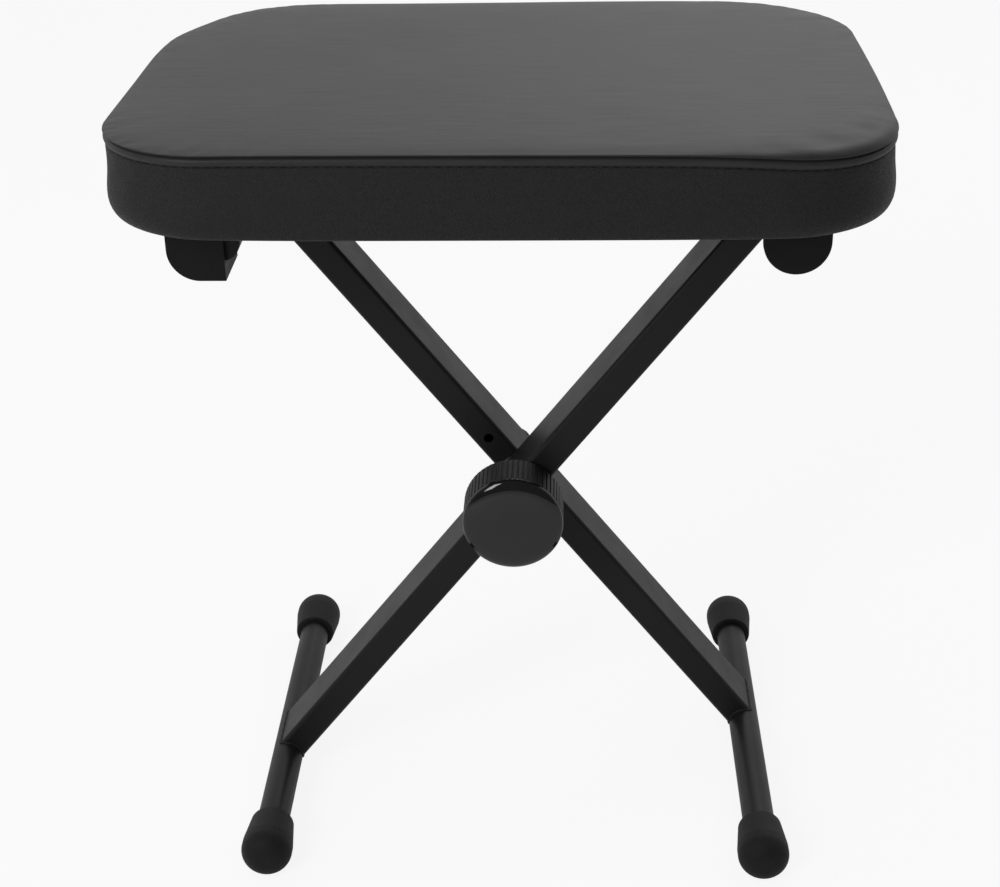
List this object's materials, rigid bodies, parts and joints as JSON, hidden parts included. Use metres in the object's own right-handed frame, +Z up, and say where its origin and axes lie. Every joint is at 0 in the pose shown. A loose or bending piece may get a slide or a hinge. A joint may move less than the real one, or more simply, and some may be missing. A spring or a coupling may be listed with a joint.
{
  "type": "folding keyboard bench",
  "caption": "Padded rectangular bench seat on a folding crossed-tube frame, locked at its crossing by a round clamp knob and standing on rubber-capped foot tubes.",
  "frame": {"origin": "on the floor, under the middle of the seat", "axes": "+X to the sitter's right, +Y to the back, +Z up; the clamp knob faces -Y"},
  "size_m": [0.4, 0.302, 0.4457],
  "materials": {
    "leatherette": "black grained leatherette, satin",
    "seat_foam": "open-cell foam",
    "plywood": "raw plywood",
    "base_cloth": "black non-woven cloth",
    "black_paint": "black powder coat, satin",
    "foot_rubber": "black moulded rubber",
    "bracket_plastic": "black moulded nylon",
    "plug_plastic": "black moulded plastic",
    "bush_nylon": "black nylon",
    "zinc_steel": "zinc-plated steel",
    "black_screw": "black-finished steel",
    "friction_fibre": "pressed fibre",
    "insert_brass": "turned brass",
    "knob_plastic": "black moulded plastic, fine matt",
    "knob_gloss": "black polished plastic"
  },
  "bodies": {
    "rear_leg": {"back_arm": "black_paint", "right_foot_tube": "black_paint", "left_top_tube": "black_paint", "right_front_foot_cap": "foot_rubber", "right_back_foot_cap": "foot_rubber", "left_tube_plugs": "plug_plastic", "pivot_bolt": "black_screw", "back_washer": "black_screw", "back_sleeve": "zinc_steel", "back_friction_disc": "friction_fibre"},
    "front_leg": {"front_arm": "black_paint", "left_foot_tube": "black_paint", "right_top_tube": "black_paint", "left_front_foot_cap": "foot_rubber", "left_back_foot_cap": "foot_rubber", "right_tube_plugs": "plug_plastic", "front_sleeve": "zinc_steel", "front_friction_disc": "friction_fibre"},
    "seat": {"seat_cover": "leatherette", "seat_foam": "seat_foam", "seat_board": "plywood", "base_cloth": "base_cloth", "front_hinge_block": "bracket_plastic", "back_hinge_block": "bracket_plastic", "front_rest_bracket": "bracket_plastic", "back_rest_bracket": "bracket_plastic", "bracket_screws": "black_screw", "front_hinge_bush": "bush_nylon", "back_hinge_bush": "bush_nylon"},
    "clamp_washer": {"thrust_washer": "zinc_steel"},
    "knob": {"knob_body": "knob_plastic", "knob_insert": "insert_brass", "knob_cap": "knob_gloss"}
  },
  "joints": [
    {"name": "leg_fold", "type": "hinge", "parent": "rear_leg", "child": "front_leg", "pos_m": [0.0035, 0, 0.20103], "axis": [0, -1, 0], "range_deg": [0, 67]},
    {"name": "seat_swing", "type": "hinge", "parent": "rear_leg", "child": "seat", "pos_m": [-0.1427, -0.011, 0.38757], "axis": [0, -1, 0], "range_deg": [0, 123.5]},
    {"name": "knob_travel", "type": "slide", "parent": "rear_leg", "child": "clamp_washer", "axis": [0, -1, 0], "range_m": [0, 0.003]},
    {"name": "knob_turn", "type": "hinge", "parent": "clamp_washer", "child": "knob", "pos_m": [0.0035, 0, 0.20103], "axis": [0, -1, 0], "range_deg": [0, 720]}
  ],
  "couplings": [
    {"joint": "seat_swing", "follows": "leg_fold", "ratio": 1.843},
    {"joint": "knob_travel", "follows": "knob_turn", "m_per_rad": 0.0002387}
  ]
}
